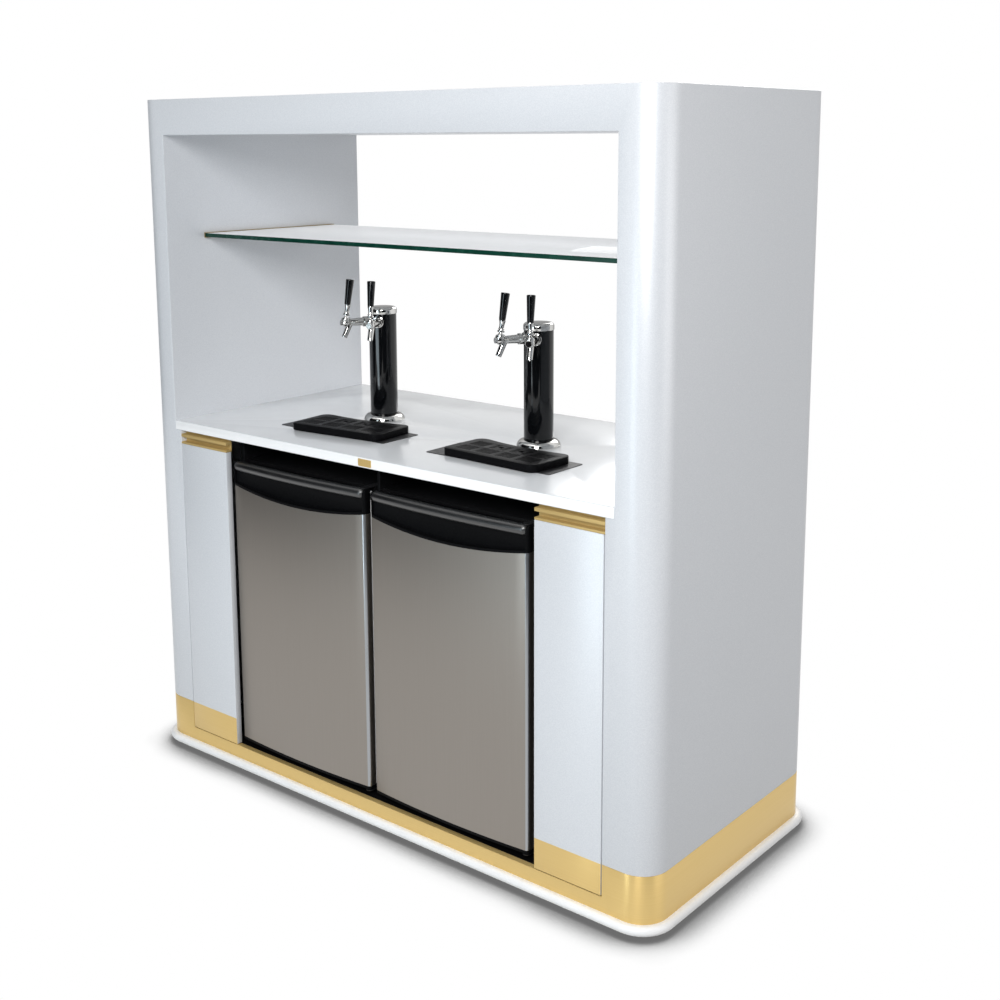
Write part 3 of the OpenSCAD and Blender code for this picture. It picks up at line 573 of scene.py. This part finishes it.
# Cupboard doors: lacquered boards with the gold band carried across their feet.
# They turn on steel pins, and a gold finger channel under the counter leaves room to pull them.
UP = Vector((0.0, 0.0, 1.0))
BAND_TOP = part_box("gold_skirt")[1].z
pull_gold = gold_finish("pull_channel_gold", stretch=(3.0, 600.0, 600.0), shine=0.48, metal=0.35, tone=0.7)
softened("pull_channels", "finger_channels", pull_gold, width=0.0006)
dress("door_pivots", zinc)
for side in ("left", "right"):
    door = softened(f"cupboard_door_{side}", f"cupboard_leaf_{side}", pearl, width=0.001)
    shape = bmesh.new()
    shape.from_mesh(door.data)
    bmesh.ops.bisect_plane(shape, geom=shape.verts[:] + shape.edges[:] + shape.faces[:], dist=WELD,
                           plane_co=UP * BAND_TOP, plane_no=UP)
    shape.to_mesh(door.data)
    shape.free()
    finish_faces(door, band_gold, lambda face: face.center.z < BAND_TOP and face.normal.y < -FACING)

# Fridges: black textured cabinets on feet with white liners, bowed steel doors on right-hand hinges,
# black door caps with a finger recess and a round grip bar, soft gaskets, and a compressor in the
# niche at the back.
# Limits of the sideways lean of the fold faces that get the painted highlight.
HIGHLIGHT_FROM = 0.30
HIGHLIGHT_TO = 0.93
BAR_R = 0.015
BAR_BACK = 0.010
BAR_DROP = 0.011
BAR_END = 0.004
BAR_STATIONS = 24
BAR_SIDES = 28
DOME_RINGS = 6
DOME_START = 0.3
# The cabinets' black is far darker than real paint, so that the bay round them stays black: partly painted shade.
cabinet_black = patchy_finish("fridge_black", dark=(0.003, 0.003, 0.0034), pale=(0.006, 0.006, 0.0066),
                              scale=700.0, gloss=(0.36, 0.54), grain_depth=0.0003, Specular_IOR_Level=0.12)
liner_white = patchy_finish("liner_white", dark=(0.80, 0.80, 0.79), pale=(0.815, 0.815, 0.805), scale=12.0,
                            gloss=(0.28, 0.31))
gasket_grey = patchy_finish("gasket_rubber", dark=(0.05, 0.05, 0.05), pale=(0.09, 0.09, 0.09), scale=90.0,
                            gloss=(0.55, 0.7))
cap_black = patchy_finish("moulded_black", dark=(0.002, 0.0022, 0.0026), pale=(0.004, 0.0042, 0.0048),
                          scale=14.0, gloss=(0.34, 0.40), Specular_IOR_Level=0.9, Coat_Weight=0.5,
                          Coat_Roughness=0.34)
recess_black = patchy_finish("recess_black", dark=(0.002, 0.0022, 0.0026), pale=(0.005, 0.0052, 0.0058),
                             scale=300.0, gloss=(0.40, 0.55), Specular_IOR_Level=0.04)
# Paler polished steel for the rounded fold at each door's right edge: a painted highlight.
painted_fold_highlight = patchy_finish("painted_fold_highlight", dark=(0.36, 0.375, 0.39), pale=(0.40, 0.415, 0.43), scale=5.0,
                            gloss=(0.27, 0.31), Metallic=1.0)
dark_steel = patchy_finish("dark_steel", dark=(0.008, 0.008, 0.009), pale=(0.016, 0.016, 0.017), scale=80.0,
                           gloss=(0.35, 0.5), Specular_IOR_Level=0.2)

# The steel's own grey is warmed by a painted reflection of a warm floor.
STEEL_DARK = (0.296, 0.270, 0.243)
STEEL_PALE = (0.312, 0.286, 0.258)
steel, tree, out = new_material("door_steel")
shader = principled(tree, out, Metallic=1.0, Anisotropic=0.2)
lines = place_group(tree, LINES, Fineness=1.0, Wander=0.05)
tree.links.new(object_place(tree, stretch=(900.0, 900.0, 5.0)), lines.inputs["Place"])
streak = lines.outputs["Streak"]
tree.links.new(ramp(tree, streak, (0.3, STEEL_DARK), (0.7, STEEL_PALE)), shader.inputs["Base Color"])
tree.links.new(ramp(tree, streak, (0.25, 0.42), (0.75, 0.46)), shader.inputs["Roughness"])
tree.links.new(bump(tree, streak, depth=0.00001, strength=0.1), shader.inputs["Normal"])


def ringed_mesh(name, rings):
    """A closed smooth mesh through rings of points, from one end to the other."""
    shape = bmesh.new()
    loops = [[shape.verts.new(point) for point in ring] for ring in rings]
    for first, second in zip(loops, loops[1:]):
        for step in range(len(first)):
            after = (step + 1) % len(first)
            shape.faces.new((first[step], first[after], second[after], second[step]))
    shape.faces.new(loops[0][::-1])
    shape.faces.new(loops[-1])
    for face in shape.faces:
        face.smooth = True
    mesh = bpy.data.meshes.new(name)
    shape.to_mesh(mesh)
    shape.free()
    mesh.set_sharp_from_angle(angle=ROUND_EDGE)
    return mesh


def grip_bar(name, node, finish):
    """A round bar along the bow of a door cap, with domed ends."""
    low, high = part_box(node)
    middle = (low.x + high.x) / 2
    height = high.z - BAR_DROP
    reach = (high.x - low.x) / 2 - BAR_R - BAR_END
    upper = [point.co for point in frame["nodes"][node].data.vertices if point.co.z > high.z - 2 * BAR_R]
    crown = min(point.y for point in upper)
    flank = min(point.y for point in upper if point.x < low.x + BAR_R)
    turns = [math.pi / 2 * (ring + DOME_START) / DOME_RINGS for ring in range(DOME_RINGS)]
    dome = [(-reach - BAR_R * math.cos(turn), BAR_R * math.sin(turn)) for turn in turns]
    run = [(reach * (2 * step / BAR_STATIONS - 1), BAR_R) for step in range(BAR_STATIONS + 1)]
    far_dome = [(-place, radius) for place, radius in reversed(dome)]
    around = [math.tau * step / BAR_SIDES for step in range(BAR_SIDES)]
    rings = []
    for place, radius in dome + run + far_dome:
        back = crown + (flank - crown) * (place / (reach + BAR_R)) ** 2 + BAR_BACK
        rings.append([(middle + place, back + radius * math.cos(a), height + radius * math.sin(a))
                      for a in around])
    bar = bpy.data.objects.new(name, ringed_mesh(name, rings))
    bpy.context.scene.collection.objects.link(bar)
    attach(bar, BODY_OF[node])
    bar.data.materials.append(finish)


for side in ("left", "right"):
    softened(f"fridge_cabinet_{side}", f"fridge_box_{side}", cabinet_black, width=0.003)
    skin = softened(f"fridge_panel_{side}", f"fridge_steel_{side}", steel, width=0.003, segments=3)
    # The rounded fold faces that lean to the right get the paler steel: a painted highlight.
    finish_faces(skin, painted_fold_highlight, lambda face: HIGHLIGHT_FROM < face.normal.x < HIGHLIGHT_TO and face.normal.y < 0.0)
    softened(f"fridge_trim_{side}", f"fridge_cap_{side}", recess_black, width=0.004, segments=3)
    grip_bar(f"grip_bar_{side}", f"fridge_trim_{side}", cap_black)
    softened(f"door_liner_{side}", f"door_inside_{side}", liner_white, width=0.003)
    softened(f"door_gasket_{side}", f"door_seal_{side}", gasket_grey, width=0.003)
dress("fridge_liners", liner_white)
softened("fridge_hinges", "fridge_hinge_plates", dark_steel, width=0.0006)
dress("compressors", dark_steel)

# Beer towers: gloss black columns with chrome flanges and caps, clamped through the counter.
# Each has two chrome taps, whose levers rock on a ball and carry black moulded handles.
# The turned profiles are pairs of radius and height in millimetres.
TURN_STEPS = 48
MM_PER_M = 1000
BALL_R = 0.008
BALL_FROM = 0.12
BALL_TO = 2.45
BALL_STEPS = 10
SEAT_DEPTH = 0.012
LEVER_PROFILE = [(4.6, 7.2), (4.6, 9.6), (9.2, 9.7), (9.8, 10.4), (9.8, 13.4), (9.2, 14.3), (7.2, 15.2),
                 (6.9, 17.0), (8.2, 17.6), (8.5, 18.6), (8.2, 19.6), (6.9, 20.4), (6.6, 23.0), (6.7, 28.0),
                 (7.4, 34.0), (8.4, 38.4), (9.0, 38.9), (9.2, 40.0), (9.0, 41.6), (8.0, 42.0)]
RING_PROFILE = [(11.5, 6.2), (12.9, 6.6), (13.4, 7.6), (13.4, 10.6), (12.9, 11.8), (11.5, 12.2)]
PIVOTS = {joint["name"]: Vector(joint["pos_m"]) for joint in frame["joints"] if "pos_m" in joint}
chrome = patchy_finish("polished_chrome", dark=(0.60, 0.595, 0.58), pale=(0.68, 0.675, 0.66), scale=45.0,
                       gloss=(0.04, 0.10), Metallic=1.0, Specular_Tint=(0.35, 0.35, 0.35, 1.0))
gloss_black = patchy_finish("gloss_black", dark=(0.002, 0.0024, 0.003), pale=(0.004, 0.0044, 0.0052),
                            scale=40.0, gloss=(0.07, 0.09), Specular_IOR_Level=0.42)
softened("tower_columns", "tower_tubes", gloss_black, width=0.0005)
softened("tower_flanges", "tower_feet", chrome, width=0.0008)
softened("tower_caps", "tower_lids", chrome, width=0.001)
softened("tap_shanks", "tap_shank_set", chrome, width=0.0008)
softened("faucets", "tap_bodies", chrome, width=0.0006)


def turned(name, foot, up, profile, node, finish, stands_for):
    """A turned piece of radius and height pairs in metres along an axis, on the body of a solid."""
    tilt = UP.rotation_difference(up).to_matrix()
    around = [math.tau * step / TURN_STEPS for step in range(TURN_STEPS)]
    rings = []
    for radius, height in profile:
        ring = [Vector((radius * math.cos(a), radius * math.sin(a), height)) for a in around]
        rings.append([foot + tilt @ point for point in ring])
    piece = bpy.data.objects.new(name, ringed_mesh(name, rings))
    bpy.context.scene.collection.objects.link(piece)
    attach(piece, BODY_OF[node])
    if stands_for:
        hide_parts(node)
    piece.data.materials.append(finish)


ball_turns = [BALL_FROM + (BALL_TO - BALL_FROM) * step / BALL_STEPS for step in range(BALL_STEPS + 1)]
lever_profile = [(BALL_R * math.sin(a), -BALL_R * math.cos(a)) for a in ball_turns]
lever_profile += [(radius / MM_PER_M, height / MM_PER_M) for radius, height in LEVER_PROFILE]
ring_profile = [(radius / MM_PER_M, height / MM_PER_M) for radius, height in RING_PROFILE]
for tap in (1, 2, 3, 4):
    softened(f"tap_handle_{tap}", f"handle_{tap}", gloss_black, width=0.001)
    pivot = PIVOTS[f"tap_pull_{tap}"]
    low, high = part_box(f"tap_handle_{tap}")
    lean = ((low + high) / 2 - pivot).normalized()
    turned(f"lever_{tap}", pivot, lean, lever_profile, f"tap_lever_{tap}", chrome, stands_for=True)
    seat = pivot - UP * SEAT_DEPTH
    turned(f"bonnet_ring_{tap}", seat, UP, ring_profile, "faucets", chrome, stands_for=False)

# Drip trays: moulded black plastic tubs with lift-out grates, laid loose on the counter.
# The slotted dark plates lie on the counter under them and show at their ends.
tray_black = patchy_finish("tray_black", dark=(0.003, 0.003, 0.0035), pale=(0.007, 0.007, 0.0078),
                           scale=500.0, gloss=(0.34, 0.50), grain_depth=0.0002, Specular_IOR_Level=0.03)
dress("drain_plates", dark_steel)
for side in ("left", "right"):
    softened(f"drip_tray_{side}", f"tray_tub_{side}", tray_black, width=0.0015)
    softened(f"drip_grate_{side}", f"tray_grate_{side}", tray_black, width=0.0006)
